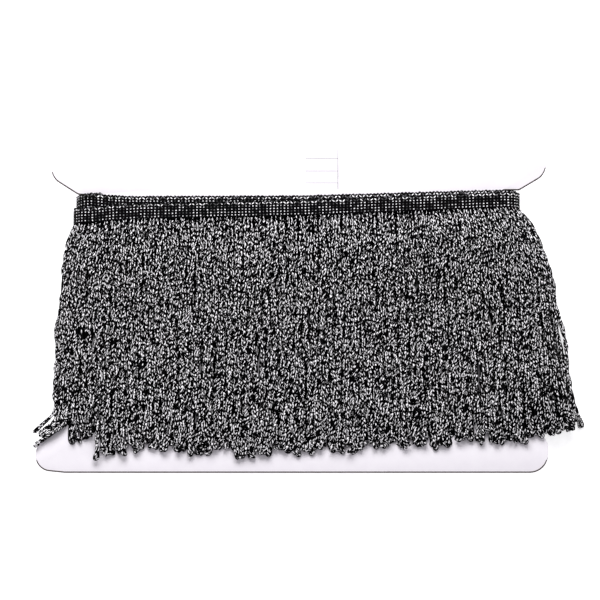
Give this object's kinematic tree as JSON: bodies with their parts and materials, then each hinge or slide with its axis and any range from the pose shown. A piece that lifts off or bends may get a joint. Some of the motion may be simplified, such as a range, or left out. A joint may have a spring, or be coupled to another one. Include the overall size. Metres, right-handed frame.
{
  "type": "chainette fringe trim wound on a display card",
  "caption": "Black and white chainette fringe with a woven heading, wound flat round the neck of a plain white die-cut card, its strands hanging over the card's lower bar.",
  "frame": {"origin": "on the surface that the winding lies on, under the middle of the whole part", "axes": "+X along the width of the winding, +Y from the hem to the woven heading in the card's plane, +Z out of the front of the card"},
  "size_m": [0.3289, 0.201, 0.022],
  "materials": {
    "board": "smooth white clay-coated board, grey-brown at the cut edge",
    "heading": "woven black rayon with a grid of white picks",
    "chainette": "knitted black and white rayon chainette"
  },
  "bodies": {
    "root": {"card": "board", "heading": "heading", "fringe_front_outer": "chainette", "fringe_front_middle": "chainette", "fringe_front_inner": "chainette", "fringe_back_outer": "chainette", "fringe_back_middle": "chainette", "fringe_back_inner": "chainette"}
  },
  "joints": []
}
